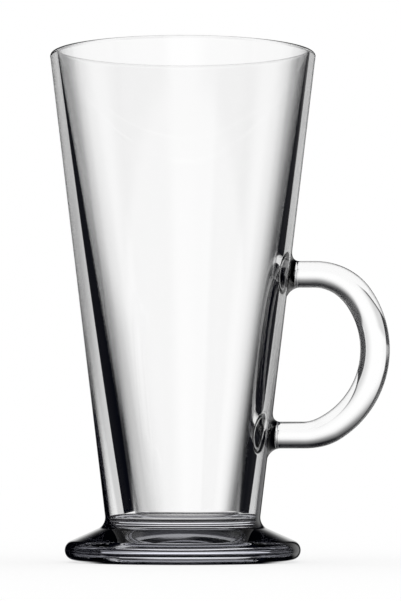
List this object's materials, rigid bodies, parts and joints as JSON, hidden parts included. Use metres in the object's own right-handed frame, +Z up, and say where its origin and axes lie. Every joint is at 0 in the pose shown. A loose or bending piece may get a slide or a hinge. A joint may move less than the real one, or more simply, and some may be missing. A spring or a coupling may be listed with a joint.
{
  "type": "irish coffee glass mug",
  "caption": "Tall clear glass mug for irish coffee: a thick tapering bowl on a flared foot, with a round bar handle fused to its side.",
  "frame": {"origin": "centre of the ring that the foot rests on", "axes": "+Z up along the bowl's axis, +X towards the handle"},
  "size_m": [0.1001, 0.0786, 0.15],
  "materials": {
    "clear_glass": "clear pressed soda-lime glass, fire-polished"
  },
  "bodies": {
    "root": {"bowl": "clear_glass", "foot": "clear_glass", "handle": "clear_glass"}
  },
  "joints": []
}
